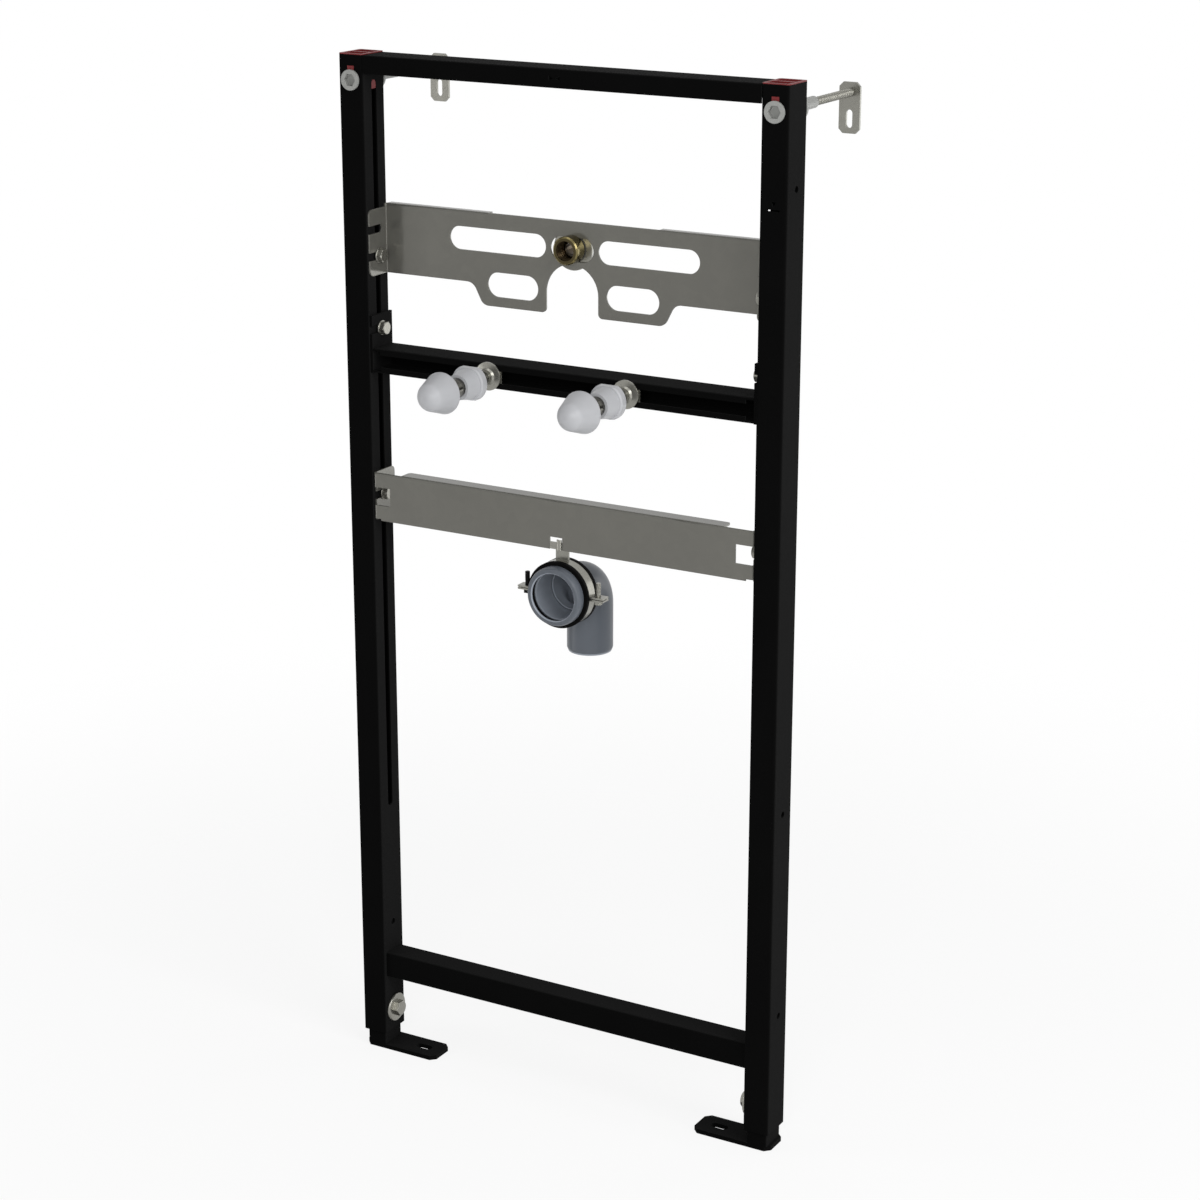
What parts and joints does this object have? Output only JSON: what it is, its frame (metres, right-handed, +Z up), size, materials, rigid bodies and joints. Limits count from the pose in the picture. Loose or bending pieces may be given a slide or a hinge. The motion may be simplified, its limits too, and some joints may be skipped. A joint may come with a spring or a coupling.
{
  "type": "urinal installation frame",
  "caption": "Steel in-wall frame for a urinal: slotted uprights on sliding legs, wall rods, a water outlet plate, a stud bar and a clamped drain elbow.",
  "frame": {"origin": "on the sole of the left foot plate, under the middle of the left upright", "axes": "+X to the right upright, +Y to the wall behind, +Z up"},
  "size_m": [0.52, 0.2905, 1.134],
  "materials": {
    "black_powder_coat": "satin powder coat on steel",
    "galvanised_sheet": "galvanised steel sheet",
    "zinc_plated_steel": "bright zinc plate on steel",
    "black_oxide_steel": "black finish on steel",
    "red_plastic": "moulded, matte",
    "white_plastic": "moulded, satin",
    "brass": "machined",
    "grey_pp": "moulded, matte",
    "black_rubber": "moulded, matte"
  },
  "bodies": {
    "feet": {"left_leg": "black_powder_coat", "right_leg": "black_powder_coat", "left_foot_plate": "black_powder_coat", "right_foot_plate": "black_powder_coat"},
    "frame": {"left_upright": "black_powder_coat", "left_cap": "red_plastic", "left_wall_rod": "zinc_plated_steel", "left_wall_plate": "zinc_plated_steel", "left_rod_sleeve": "white_plastic", "left_rod_collar": "white_plastic", "left_bar_bracket": "black_powder_coat", "left_stud": "zinc_plated_steel", "left_stud_nut": "zinc_plated_steel", "left_stud_bush": "white_plastic", "left_stud_cap": "white_plastic", "right_upright": "black_powder_coat", "right_cap": "red_plastic", "right_wall_rod": "zinc_plated_steel", "right_wall_plate": "zinc_plated_steel", "right_rod_sleeve": "white_plastic", "right_rod_collar": "white_plastic", "right_bar_bracket": "black_powder_coat", "right_stud": "zinc_plated_steel", "right_stud_nut": "zinc_plated_steel", "right_stud_bush": "white_plastic", "right_stud_cap": "white_plastic", "top_bar": "black_powder_coat", "bottom_bar": "black_powder_coat", "leg_clamp_bolts": "zinc_plated_steel", "water_plate": "galvanised_sheet", "water_plate_bolts": "zinc_plated_steel", "water_outlet": "brass", "outlet_locknut": "brass", "fixing_bar": "black_powder_coat", "bar_bolts": "zinc_plated_steel", "drain_plate": "galvanised_sheet", "drain_plate_bolts": "zinc_plated_steel", "drain_elbow": "grey_pp", "drain_seal": "black_rubber", "clamp_liner": "black_rubber", "clamp_upper_half": "zinc_plated_steel", "clamp_lower_half": "zinc_plated_steel", "left_clamp_screw": "black_oxide_steel", "right_clamp_screw": "zinc_plated_steel", "outlet_washer": "zinc_plated_steel"}
  },
  "joints": [
    {"name": "height_slide", "type": "slide", "parent": "feet", "child": "frame", "axis": [0, 0, 1], "range_m": [-0.011, 0.187]}
  ]
}
